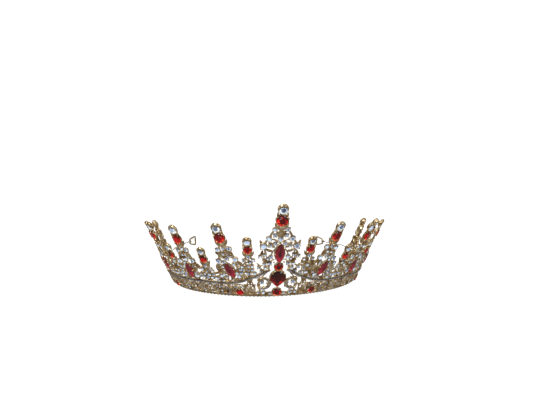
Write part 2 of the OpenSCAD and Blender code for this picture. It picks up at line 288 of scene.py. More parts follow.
def outline_setting(piece, p, outline, wall, z0, z1):
    """A collet wall round an outline of (x, y) points: outside, rim and inside."""
    n = len(outline)

    def ring(grow, z):
        out = []
        for i in range(n):
            q = Vector(outline[i])
            before, after = Vector(outline[i - 1]), Vector(outline[(i + 1) % n])
            t = (after - before).normalized()
            out.append(Vector((p[0] + q.x + t.y * grow, p[1] + q.y - t.x * grow, z)))
        return out

    rings = [
        ring(wall * 1.5, z0),
        ring(wall, z0 + 0.6 * (z1 - z0)),
        ring(wall * 1.15, z1 - 0.08),
        ring(wall * 0.5, z1),
        ring(0.02, z1 - 0.15),
        ring(-0.1, z0 + 0.3),
    ]
    verts = [v for r in rings for v in r]
    faces = bridge(rings)
    faces.append(list(range(n))[::-1])
    last = (len(rings) - 1) * n
    faces.append([last + j for j in range(n)])
    piece.add(verts, faces)


def claw(piece, foot, tip, thick):
    """A claw that climbs a collet and bends over the stone's edge."""
    foot, tip = Vector(foot), Vector(tip)
    out = Vector((foot.x - tip.x, foot.y - tip.y, 0))
    out = out.normalized() * 0.18 if out.length else out
    mid = Vector((foot.x, foot.y, tip.z - 0.1)) + out
    belly = (foot + mid) / 2 + out * 0.5
    bend = (mid + tip) / 2 + Vector((0, 0, 0.16))
    tube(piece, [foot, belly, mid, bend, tip], [thick, thick, thick, thick * 0.95, thick * 0.7], 6)


def facets(piece, p, rings, painted_light_at):
    """A faceted stone: rings of (outline points, z), the last is the table. Quads split in triangles, and
    the function passed last gives each facet its painted shade or painted highlight.
    """
    size = len(rings[0][0])
    verts = []
    for outline, z in rings:
        verts += [Vector((p[0] + q[0], p[1] + q[1], z)) for q in outline]
    faces = []
    for i in range(len(rings) - 1):
        for j in range(size):
            k = (j + 1) % size
            a, b, c, d = i * size + j, i * size + k, (i + 1) * size + k, (i + 1) * size + j
            if (i + j) % 2:
                faces += [[a, b, c], [a, c, d]]
            else:
                faces += [[a, b, d], [b, c, d]]
    last = (len(rings) - 1) * size
    faces.append(list(range(size))[::-1])
    faces.append([last + j for j in range(size)])
    centre = Vector((p[0], p[1], 0))
    # each facet's painted light, from where its middle lies and whether it is the table
    painted_lights = []
    for f in faces:
        middle = sum((verts[k] for k in f), Vector()) / len(f) - centre
        painted_lights.append(painted_light_at(middle, len(f) == size))
    piece.add(verts, faces, False, painted_lights)


def round_outline(r, n, turn=0.0):
    angles = [2 * math.pi * (i + turn) / n for i in range(n)]
    return [(r * math.cos(a), r * math.sin(a)) for a in angles]


def facet_painted_light(r):
    """Painted light of a facet: a painted highlight low down, painted shade at the top and on the table, and
    uneven from facet to facet as painted glints.
    """

    def painted_light(middle, table):
        # painted highlight low on the stone, painted shade high up, plus random painted glints
        low = 0.52 - 0.42 * middle.y / r
        return min(1, max(0, low + rng.uniform(-0.3, 0.3) - (0.14 if table else 0)))

    return painted_light


def round_stone(piece, p, r, z=0.9):
    """A round stone whose girdle is a little above z."""
    n = 16 if r > BIG_STONE else 10
    dome = 0.34 * r
    rings = [
        (round_outline(0.45 * r, n), z - 0.25 * r),
        (round_outline(0.98 * r, n), z + 0.06 * r),
        (round_outline(r, n), z + 0.16 * r),
        (round_outline(0.83 * r, n, 0.5), z + 0.16 * r + dome * 0.55),
        (round_outline(0.52 * r, n), z + 0.16 * r + dome),
    ]
    facets(piece, p, rings, facet_painted_light(r))


def shape_stone(piece, p, outline, z, rise, size):
    """A stone of any outline, with its girdle just above z and a crown that climbs by rise."""

    def scaled(k):
        return [(x * k, y * k) for x, y in outline]

    top = z + 0.25
    rings = [
        (scaled(0.6), z - 0.5),
        (scaled(0.97), z),
        (scaled(1.0), top),
        (scaled(0.86), top + rise * 0.5),
        (scaled(0.66), top + rise * 0.85),
        (scaled(0.42), top + rise),
    ]
    facets(piece, p, rings, facet_painted_light(size))


def lens(length, width, tilt=0.0, n=24):
    """A pointed oval's outline, its point turned clockwise by tilt degrees, counter-clockwise order."""
    r = (length * length / 4 + width * width / 4) / width
    a = math.asin(length / 2 / r)
    angles = [-a + 2 * a * i / (n // 2) for i in range(n // 2)]
    right = [(r * math.cos(t) - r + width / 2, r * math.sin(t)) for t in angles]
    both = right + [(-x, -y) for x, y in right]
    c, s = math.cos(-math.radians(tilt)), math.sin(-math.radians(tilt))
    return [(x * c - y * s, x * s + y * c) for x, y in both]


def drop(r, length, n=26):
    """A pear's outline, point down, counter-clockwise, its round end centred on the origin."""
    a = math.asin(r / (length - r))
    angles = [-a + (math.pi + 2 * a) * i / (n - 3) for i in range(n - 2)]
    arc = [(r * math.cos(t), r * math.sin(t)) for t in angles]
    tip = (0, r - length)
    left = ((arc[-1][0] + tip[0]) / 2, (arc[-1][1] + tip[1]) / 2)
    return arc + [left, tip]


def claw_set(piece, p, r, tip_z, count, start, thick):
    """Claws spread evenly round a stone of radius r, the first at start degrees."""
    foot_r, tip_r, foot_z = r + 0.3, r * 0.8, 0.4
    for i in range(count):
        a = math.radians(start + 360 * i / count)
        c, s = math.cos(a), math.sin(a)
        foot_point = (p[0] + c * foot_r, p[1] + s * foot_r, foot_z)
        claw(piece, foot_point, (p[0] + c * tip_r, p[1] + s * tip_r, tip_z), thick)


def collet(piece, p, r, claws, start):
    """A turned cup with claws for a round stone; the stone's girdle is at the rim."""
    big = r > BIG_STONE
    z = 0.9 + 0.14 * r
    wall = 0.3 if big else 0.22
    profile = [
        (r * 0.7, 0.1),
        (r + wall * 1.3, 0.25),
        (r + wall * 0.75, 0.55),
        (r + wall * 1.15, z - 0.1),
        (r + wall * 0.7, z + 0.04),
        (r + 0.02, z - 0.08),
        (r * 0.5, 0.45),
    ]
    lathe(piece, (p[0], p[1], 0), profile, 20 if big else 14)
    tip_z = z + (0.14 if big else 0.08) * r + 0.12
    claw_set(piece, p, r, tip_z, claws, start, 0.36 if big else 0.26)


def set_round(metal, stone, p, r, claws=4, start=45.0):
    """A round stone in its cup: the cup goes into metal, the stone into stone."""
    collet(metal, p, r, claws, start)
    round_stone(stone, p, r)


# ---------------------------------------------------------------- materials
def node_material(name):
    m = bpy.data.materials.new(name)
    m.use_nodes = True
    nodes, links = m.node_tree.nodes, m.node_tree.links
    return m, nodes, links, nodes["Principled BSDF"]


def ramp(nodes, stops):
    """A colour ramp through stops of (position, colour)."""
    r = nodes.new("ShaderNodeValToRGB")
    e = r.color_ramp.elements
    e[0].position, e[0].color = stops[0][0], (*stops[0][1], 1)
    e[1].position, e[1].color = stops[-1][0], (*stops[-1][1], 1)
    for pos, col in stops[1:-1]:
        e.new(pos).color = (*col, 1)
    return r


def noise(nodes, links, coord, scale, detail):
    n = nodes.new("ShaderNodeTexNoise")
    n.inputs["Scale"].default_value = scale
    n.inputs["Detail"].default_value = detail
    n.inputs["Roughness"].default_value = 0.6
    links.new(coord, n.inputs["Vector"])
    return n


def metal_material(name, stops, rough, bump, grain):
    """Worn plating: patches pick a colour from stops; a fine grain drives roughness and bump."""
    m, nodes, links, bsdf = node_material(name)
    bsdf.inputs["Metallic"].default_value = 1.0
    coord = nodes.new("ShaderNodeTexCoord").outputs["Object"]
    patches = noise(nodes, links, coord, 260, 4)
    colour = ramp(nodes, stops)
    links.new(patches.outputs["Fac"], colour.inputs["Fac"])
    links.new(colour.outputs["Color"], bsdf.inputs["Base Color"])
    fine = noise(nodes, links, coord, grain, 3)
    spread = nodes.new("ShaderNodeMapRange")
    spread.inputs["From Min"].default_value, spread.inputs["From Max"].default_value = 0.3, 0.7
    spread.inputs["To Min"].default_value, spread.inputs["To Max"].default_value = rough
    links.new(fine.outputs["Fac"], spread.inputs["Value"])
    links.new(spread.outputs["Result"], bsdf.inputs["Roughness"])
    b = nodes.new("ShaderNodeBump")
    b.inputs["Strength"].default_value = bump
    b.inputs["Distance"].default_value = 0.0002
    links.new(fine.outputs["Fac"], b.inputs["Height"])
    links.new(b.outputs["Normal"], bsdf.inputs["Normal"])
    return m


def stone_material(name, stops, metallic, rough, painted_glow=0.0):
    """Foil-backed cut glass: each facet's painted light picks its colour, from painted shade to painted
    highlight, with faint clouding inside; a glow, where given, is painted light, the stone emitting its own
    colour.
    """
    m, nodes, links, bsdf = node_material(name)
    bsdf.inputs["Metallic"].default_value = metallic
    bsdf.inputs["Roughness"].default_value = rough
    bsdf.inputs["IOR"].default_value = 1.6
    bsdf.inputs["Coat Weight"].default_value = 0.3
    bsdf.inputs["Coat Roughness"].default_value = 0.02
    # the painted light of each facet, read from the mesh: painted shade to painted highlight
    painted_light = nodes.new("ShaderNodeAttribute")
    painted_light.attribute_name = "painted_light"
    coord = nodes.new("ShaderNodeTexCoord").outputs["Object"]
    cloud = noise(nodes, links, coord, 700, 2)
    mix = nodes.new("ShaderNodeMath")
    mix.operation = "MULTIPLY_ADD"
    links.new(cloud.outputs["Fac"], mix.inputs[0])
    mix.inputs[1].default_value = 0.5
    shift = nodes.new("ShaderNodeMath")
    shift.operation = "SUBTRACT"
    links.new(painted_light.outputs["Fac"], shift.inputs[0])
    shift.inputs[1].default_value = 0.25
    links.new(shift.outputs[0], mix.inputs[2])
    colour = ramp(nodes, stops)
    links.new(mix.outputs[0], colour.inputs["Fac"])
    links.new(colour.outputs["Color"], bsdf.inputs["Base Color"])
    # painted glow: the stone emits its ramp colour though it is no lamp
    if painted_glow:
        links.new(colour.outputs["Color"], bsdf.inputs["Emission Color"])
        bsdf.inputs["Emission Strength"].default_value = painted_glow
    return m


GILT = metal_material(
    "gilt",
    [
        (0.32, (0.26, 0.15, 0.055)),
        (0.45, (0.68, 0.48, 0.24)),
        (0.56, (0.96, 0.79, 0.5)),
        (0.7, (1.0, 0.94, 0.78)),
    ],
    rough=(0.12, 0.36),
    bump=0.25,
    grain=900,
)
RAIL = metal_material(
    "gilt_rail",
    [(0.3, (0.34, 0.21, 0.1)), (0.5, (0.6, 0.43, 0.25)), (0.7, (0.85, 0.7, 0.48))],
    rough=(0.2, 0.38),
    bump=0.15,
    grain=500,
)
WIRE = metal_material(
    "wire",
    [(0.35, (0.45, 0.42, 0.36)), (0.5, (0.75, 0.7, 0.6)), (0.65, (0.95, 0.92, 0.86))],
    rough=(0.15, 0.3),
    bump=0.1,
    grain=700,
)
LOOP = metal_material(
    "loop_wire",
    [(0.35, (0.5, 0.38, 0.2)), (0.5, (0.85, 0.72, 0.48)), (0.65, (0.98, 0.92, 0.78))],
    rough=(0.16, 0.34),
    bump=0.15,
    grain=700,
)
# Stone ramps: the low end is painted shade for dark facets, the high end painted highlights and glints
# (white on clear stones, orange on rubies); each glow is painted light.
RUBY = stone_material(
    "ruby_stone",
    [
        (0.12, (0.02, 0.0, 0.0)),
        (0.4, (0.13, 0.0, 0.001)),
        (0.62, (0.42, 0.001, 0.002)),
        (0.84, (0.78, 0.006, 0.004)),
        (0.97, (1.0, 0.26, 0.08)),
    ],
    metallic=0.15,
    rough=0.06,
    painted_glow=0.12,
)
BURGUNDY = stone_material(
    "burgundy_stone",
    [
        (0.1, (0.04, 0.0, 0.003)),
        (0.4, (0.12, 0.0, 0.008)),
        (0.7, (0.22, 0.0, 0.015)),
        (0.95, (0.4, 0.003, 0.03)),
    ],
    metallic=0.0,
    rough=0.3,
    painted_glow=0.1,
)
PEAR = stone_material(
    "dark_red_stone",
    [
        (0.1, (0.003, 0.0, 0.0)),
        (0.52, (0.025, 0.0, 0.001)),
        (0.76, (0.13, 0.001, 0.003)),
        (0.95, (0.6, 0.004, 0.008)),
    ],
    metallic=0.1,
    rough=0.05,
    painted_glow=0.1,
)
CLEAR = stone_material(
    "clear_stone",
    [
        (0.06, (0.03, 0.035, 0.06)),
        (0.32, (0.2, 0.24, 0.33)),
        (0.5, (0.46, 0.6, 0.8)),
        (0.7, (0.78, 0.9, 1.0)),
        (0.88, (1.0, 1.0, 1.0)),
    ],
    metallic=0.35,
    rough=0.04,
    painted_glow=0.3,
)
SMOKE = stone_material(
    "smoke_stone",
    [
        (0.1, (0.02, 0.02, 0.025)),
        (0.4, (0.12, 0.12, 0.14)),
        (0.65, (0.34, 0.36, 0.42)),
        (0.9, (0.85, 0.9, 0.97)),
    ],
    metallic=0.5,
    rough=0.05,
)

# ---------------------------------------------------------------- pieces
stones = {}


def stone_piece(name, material):
    """The piece that gathers every stone of one node."""
    stones[name] = Piece("vis_" + name, material)
    return stones[name]


LARGE = stone_piece("large_red_stones", RUBY)
SMALL = stone_piece("small_red_stones", RUBY)
MARQUISE = stone_piece("marquise_stones", BURGUNDY)
PEAR_STONE = stone_piece("pear_stone", PEAR)
COLLAR = stone_piece("collar_stone", RUBY)
BASE_RED = stone_piece("base_red_stones", RUBY)
TIPS = stone_piece("tip_stones", CLEAR)
CENTRE_CLEAR = stone_piece("clear_stones_centre", CLEAR)
CLEARS = {s: stone_piece("clear_stones_" + s, CLEAR) for s in ("left", "right")}
PAVE = {s: stone_piece("pave_stones_" + s, SMOKE) for s in ("left", "right")}


def place(frame_matrix, *pieces):
    """What is added to the pieces from here on is drawn in this frame."""
    for p in pieces:
        p.frame = frame_matrix


def band_sweep(piece, u0, u1, profile, count):
    """A profile of (outward, z) points swept along the oval from u0 to u1."""
    rings = []
    for i in range(count + 1):
        u = u0 + (u1 - u0) * i / count
        h = heading(u)
        d = Vector((math.sin(h), -math.cos(h), 0))
        rings.append([oval(u) + d * r + Vector((0, 0, z)) for r, z in profile])
    size = len(profile)
    verts = [v for r in rings for v in r]
    faces = bridge(rings)
    faces.append(list(range(size))[::-1])
    faces.append([count * size + j for j in range(size)])
    piece.add(verts, faces)


def tall_beads(n):
    """Clear stones below the red one: (x, y, radius) for two pairs and one in the middle."""
    y = TALL_RED_Y[n]
    out = []
    for s in (-1, 1):
        for x, drop_y, r in (UPPER_BEAD, LOWER_BEAD):
            out.append((s * x, y - drop_y, r))
    return out + [(0, y - (11.6 if n in (2, 3) else 13.6), 1.2)]


def hood(piece, p, r):
    """The raised crescent that shields the upper edge of a tip stone."""
    steps, foot_z = 14, 0.5
    centre = Vector((p[0], p[1], 0))
    rings = []
    for i in range(steps + 1):
        t = i / steps
        a = math.radians(-12 + 204 * t)
        k = math.sin(math.pi * t)
        outward = Vector((math.cos(a), math.sin(a), 0))
        section = (
            (r + 0.1, foot_z),
            (r + 0.4 + 0.4 * k, foot_z),
            (r + 0.45 + 0.4 * k, 1.3 + 0.3 * k),
            (r + 0.1 - 0.1 * k, 1.8 + 0.7 * k),
            (r - 0.1 - 0.75 * k, 1.6 + 0.75 * k),
        )
        rings.append([centre + outward * far + Vector((0, 0, z)) for far, z in section])
    size = len(rings[0])
    verts = [v for ring in rings for v in ring]
    faces = [f[::-1] for f in bridge(rings)]
    faces.append(list(range(size)))
    faces.append([steps * size + j for j in range(size)][::-1])
    piece.add(verts, faces)


def head(metal, y, red_r, tip_y, tip_r, reds):
    """The top of a spike: red stone, hooded tip stone and the small scrolls that carry them."""
    set_round(metal, reds, (0, y), red_r, 4, 45)
    set_round(metal, TIPS, (0, tip_y), tip_r, 6, 90)
    hood(metal, (0, tip_y), tip_r)
    ball(metal, (0, tip_y, 0.3), tip_r * 0.98, 7, 14, 0.55)
    ball(metal, (0, y, 0.3), red_r * 0.98, 7, 14, 0.4)
    for s in (-1, 1):
        leaf(metal, (s * 0.3, y - red_r - 2.6), 90 - s * 38, red_r + 2.4, 1.9, 0.7, 0.45, -s * 0.5)
        low, high = (s * (red_r * 0.8), y + red_r * 0.7), (s * (tip_r * 0.9), tip_y - tip_r * 0.6)
        vine(metal, low, high, -s * 0.4, 0.5)
        ball(metal, (s * (red_r * 0.62 + 0.4), (y + tip_y) / 2 + 0.1, 1.0), 0.62)
        ball(metal, (s * (red_r + 0.2), y + 1.2, 0.9), 0.5)


def covered(x, y, ovals):
    """Whether a point lies inside one of the (x, y, rx, ry) ovals."""
    return any(((x - cx) / rx) ** 2 + ((y - cy) / ry) ** 2 < 1 for cx, cy, rx, ry in ovals)


def lace(metal, clear, y0, y1, wide, narrow, blocked):
    """Openwork of little scrolls and stones that fills a casting between two heights.

    blocked holds (x, y, rx, ry) ovals that are left free for the bigger settings.
    """
    pitch = 2.75
    rows = max(2, round((y1 - y0) / (pitch * 0.8)))
    spots = []
    for i in range(rows + 1):
        t = i / rows
        y = y0 + (y1 - y0) * t
        half = wide + (narrow - wide) * t
        cells = max(1, int(2 * half / pitch))
        for j in range(cells + 1):
            x = (j - cells / 2 + (0.25 if i % 2 else -0.25)) * pitch + rng.uniform(-0.3, 0.3)
            v = y + rng.uniform(-0.25, 0.25)
            if abs(x) <= half + 0.3 and not covered(x, v, blocked):
                spots.append((x, v, i))
    for x, v, i in spots:
        # each spot is tied to its two nearest neighbours in the same row or above
        others = [(a, b) for a, b, row in spots if row >= i and (a, b) != (x, v)]
        near = sorted((math.hypot(x - a, v - b), a, b) for a, b in others)
        for d, a, b in near[:2]:
            if d < pitch * 1.5:
                bulge = rng.choice((-0.6, 0.6))
                vine(metal, (x, v), (a, b), bulge, rng.uniform(0.42, 0.55), 0.7, 0.25)
        kind = rng.random()
        if kind < 0.5:
            set_round(metal, clear, (x, v), rng.uniform(0.85, 1.1))
        elif kind < 0.8:
            angle = 90 - 12 * x + rng.uniform(-30, 30)
            length = rng.uniform(2.6, 3.8)
            leaf(metal, (x, v - 1), angle, length, 1.7, 0.8, 0.6, rng.uniform(-0.5, 0.5))
        else:
            ball(metal, (x, v, 1.0), 0.62)


def foot(metal, clear, w, with_stones=True):
    """The latticed foot of a casting, between the garland and the base edge."""
    half = w / 2 - 0.4
    tube(metal, [(-half, 1.5, 0.7), (half, 1.5, 0.7)], 0.75, 8, 0.9)
    tube(metal, [(-half, 8.4, 0.5), (half, 8.4, 0.5)], 0.45, 6)
    for s in (-1, 1):
        vine(metal, (s * half, 1.6), (s * (half + 0.2), 8.4), -s * 0.5, 0.5)
        vine(metal, (s * (half + 0.5), 3.2), (s * (half - 1.6), 6.8), s * 0.6, 0.45)
        leaf(metal, (s * (half - 0.4), 6.2), 90 - s * 28, 3.0, 1.5, 0.7, 0.5)
        if with_stones:
            set_round(metal, clear, (s * half, 3.9), 0.85)
            set_round(metal, clear, (s * half, 6.6), 0.75)
    cells = max(1, round(w / 5.2))
    step = 2 * half / cells
    for i in range(cells):
        x = -half + step * (i + 0.5)
        for s in (-1, 1):
            vine(metal, (x, 1.8), (x + s * step * 0.42, 8.2), s * 1.1, 0.5)
            leaf(metal, (x + s * 0.3, 2.2), 90 - s * 34, min(4.6, step * 0.85), 1.6, 0.7, 0.5, s * 0.4)
        tube(metal, [(x, 5.5, 0.8), (x, 8.2, 0.7)], [0.45, 0.3], 6)
        if with_stones:
            set_round(metal, clear, (x, 4.9), 0.95, 4)
            set_round(metal, clear, (x + step * 0.42, 2.0), 0.8, 4)
            set_round(metal, clear, (x - step * 0.46, 6.6), 0.8, 4)
        vine(metal, (x - step * 0.5, 2.2), (x + step * 0.3, 5.2), 0.9, 0.42)
        vine(metal, (x - step * 0.2, 4.6), (x + step * 0.5, 7.6), -0.9, 0.42)
        ball(metal, (x, 1.0, 0.9), 0.62)
        ball(metal, (x + step / 2, 0.9, 0.8), 0.5)


def marquise(metal, p, length, width, tilt):
    """A pointed oval stone in its setting: a claw at the middle of each side and four lighter ones."""
    shape = lens(length, width, tilt)
    outline_setting(metal, p, shape, 0.42, 0.3, 1.5)
    shape_stone(MARQUISE, p, shape, 1.3, 1.0, length / 2)
    for x, y in lens(length, width, tilt, 4)[1::2]:
        foot_point = (p[0] + x * 1.05, p[1] + y * 1.05, 0.4)
        claw(metal, foot_point, (p[0] + x * 0.837, p[1] + y * 0.837, 1.95), 0.4)
    for x, y in shape[3::6]:
        foot_point = (p[0] + x * 1.12, p[1] + y * 1.06, 0.4)
        claw(metal, foot_point, (p[0] + x * 0.86, p[1] + y * 0.9, 1.85), 0.26)


def tall_spike(n, side):
    """One of the five tall castings of a side, with the stones set in it."""
    name = f"tall_spike_{n + 1}_{side}"
    metal, clear = Piece("vis_" + name, GILT), CLEARS[side]
    base = flip(side) @ at(TALL_U[n])
    place(base, metal, clear, BASE_RED)
    w, y = TALL_W[n], TALL_RED_Y[n]
    foot(metal, clear, w)
    wide = w / 2 - 1.9
    low = 14.6 if n == 0 else 12.8
    for s in (-1, 1):
        set_round(metal, clear, (s * wide, low), 1.2)
        vine(metal, (s * wide, 9.8), (s * wide, low), s * 0.5, 0.5)
        leaf(metal, (s * 1.0, 10.2), 90 - s * 58, w / 2 - 1.6, 2.0, 0.8, 0.5, s * 0.4)
        leaf(metal, (s * (w / 2 - 0.9), 9.6), 90 + s * 8, 5.6, 1.7, 0.8, 0.5, -s * 0.3)
        leaf(metal, (s * (wide + 0.4), low + 1.4), 90 - s * 12, 5.2, 2.0, 0.8, 0.5, s * 0.4)
    if n in (0, 2):
        set_round(metal, BASE_RED, (-4.4 if n == 0 else -4.2, 3.3), BASE_RED_R)
    turn = base @ lean(TALL_LEAN[n])
    place(turn, metal, clear, LARGE, TIPS, MARQUISE)
    stone = (0, MARQUISE_Y[n], 3.6, 6.2) if n < 4 else (0, 15.5, 2.2, 2.2)
    taken = [stone] + [(x, by, r + 1.1, r + 1.1) for x, by, r in tall_beads(n)]
    lace(metal, clear, 12.2, y - 13.6, w / 2 + (1.6 if n > 0 else 2.4), 6.2, taken)
    lace(metal, clear, y - 12.4, y - 6.2, 4.4, 2.6, taken)
    if n < 4:
        marquise(metal, (0, MARQUISE_Y[n]), MARQUISE_LENGTH, MARQUISE_WIDTH, MARQUISE_TILT[n])
    else:
        leaf(metal, (0, 10), 90, 9, 3.4, 1.0, 0.5)
        set_round(metal, clear, (0, 15.5), 1.5)
        for s in (-1, 1):
            leaf(metal, (s * 0.6, 12), 90 - s * 30, 7, 2.2, 0.9, 0.5, s * 0.5)
    for x, by, r in tall_beads(n):
        set_round(metal, clear, (x, by), r)
    top_x, top = UPPER_BEAD[0], y - UPPER_BEAD[1]
    mid_x, mid = LOWER_BEAD[0], y - LOWER_BEAD[1]
    for s in (-1, 1):
        vine(metal, (s * mid_x, mid), (s * top_x, top), s * 0.4, 0.6)
        vine(metal, (s * top_x, top), (s * 1.5, y - 2.2), s * 0.8, 0.55)
        vine(metal, (s * mid_x, mid), (s * 1.8, 15.5), s * 1.4, 0.55)
        vine(metal, (s * 1.0, mid + 0.8), (s * 2.6, top - 0.8), -s * 0.9, 0.5)
        leaf(metal, (s * 1.0, mid + 1.6), 90 - s * 16, 6.6, 2.2, 0.9, 0.5, -s * 0.5)
        leaf(metal, (s * 4.6, mid + 1.4), 90 + s * 14, 5.0, 1.7, 0.8, 0.5, s * 0.3)
        leaf(metal, (s * 5.6, mid - 1.4), -90 + s * 24, 5.4, 2.2, 0.9, 0.5, s * 0.6)
        leaf(metal, (s * 3.0, mid - 1.6), -90 - s * 6, 4.0, 1.6, 0.7, 0.4)
        set_round(metal, clear, (s * 1.25, top - 3.2), 0.85)
        set_round(metal, clear, (s * 3.9, mid - 3.9), 0.9)
        ball(metal, (s * 2.2, top + 2.6, 0.8), 0.55)
    set_round(metal, clear, (0, top + 0.4), 0.95)
    leaf(metal, (0, mid + 1.2), 90, 7.6, 2.0, 1.0, 0.6)
    tube(metal, [(0, mid + 1, 0.5), (0, y - 1, 0.5)], 0.6, 7)
    head(metal, y, TALL_RED_R, y + TIP_RISE, TIP_R, LARGE)
    metal.build("band", "gilt", [name])


def small_spike(n, side):
    """One of the three small castings of a side, with the stones set in it."""
    name = f"small_spike_{n + 1}_{side}"
    metal, clear = Piece("vis_" + name, GILT), CLEARS[side]
    base = flip(side) @ at(SMALL_U[n])
    place(base, metal, clear)
    w, y = SMALL_W[n], SMALL_RED_Y[n]
    foot(metal, clear, w, n > 0)
    low = 16.8 if n == 0 else 12.8
    set_round(metal, clear, (0, low), 1.2)
    tube(metal, [(0, 8.4, 0.6), (0, 18, 0.6)], 0.5, 7)
    for s in (-1, 1):
        leaf(metal, (s * 0.5, 9.4), 90 - s * 20, 5.6, 1.8, 0.8, 0.5, s * 0.6)
        vine(metal, (s * (w / 2 - 0.6), 8.6), (s * 0.8, low + 2.6), s * 0.9, 0.5)
    turn = base @ lean(SMALL_LEAN[n])
    place(turn, metal, clear, SMALL, TIPS)
    set_round(metal, clear, (0, y - 4.6), 1.2)
    lace(metal, clear, 14.5 if n == 0 else 12.5, y - 6.4, 5.4, 2.6, [(0, low, 2, 2), (0, y - 4.6, 2, 2)])
    for s in (-1, 1):
        vine(metal, (s * 0.4, 14), (s * 2.7, y - 6.8), s * 0.8, 0.55)
        vine(metal, (s * 2.7, y - 6.8), (s * 1.0, y - 1.8), s * 0.5, 0.5)
        leaf(metal, (0, 14.5), 90 - s * 22, min(8, y - 16), 2.2, 0.9, 0.5, s * 0.6)
        set_round(metal, clear, (s * 2.7, y - 6.9), 0.95)
        ball(metal, (s * 1.7, y - 3.2, 0.8), 0.5)
    tube(metal, [(0, 14, 0.5), (0, y, 0.5)], 0.55, 7)
    head(metal, y, SMALL_RED_R, y + SMALL_RISE, SMALL_TIP_R, SMALL)
    metal.build("band", "gilt", [name])


# clear stones of the centre casting that come in pairs: x, y, radius
CENTRE_PAIRS = (
    (3.6, 45.4, 1.2),
    (6.6, 39.9, 1.5),
    (9.4, 35.2, 1.8),
    (4.9, 28.2, 1.1),
    (8.4, 29.6, 1.0),
    (5.4, 23.8, 1.1),
    (8.2, 3, 1.1),
)
CENTRE_BEADS = [(s * x, y, r) for s in (-1, 1) for x, y, r in CENTRE_PAIRS] + [(0, 39.4, 1.4)]


def pear_setting(metal):
    """The pear stone, its collet and five claws."""
    shape = drop(PEAR_R, PEAR_LENGTH)
    outline_setting(metal, (0, PEAR_Y), shape, 0.4, 0.3, 1.6)
    shape_stone(PEAR_STONE, (0, PEAR_Y), shape, 1.4, 1.1, 5)
    for x, y in ((3.3, 3.3), (-3.3, 3.3), (4.2, -2.2), (-4.2, -2.2), (0, -6.6)):
        foot_point = (x * 1.08, PEAR_Y + y * 1.06, 0.4)
        claw(metal, foot_point, (x * 0.86, PEAR_Y + y * 0.88, 2.2), 0.36)


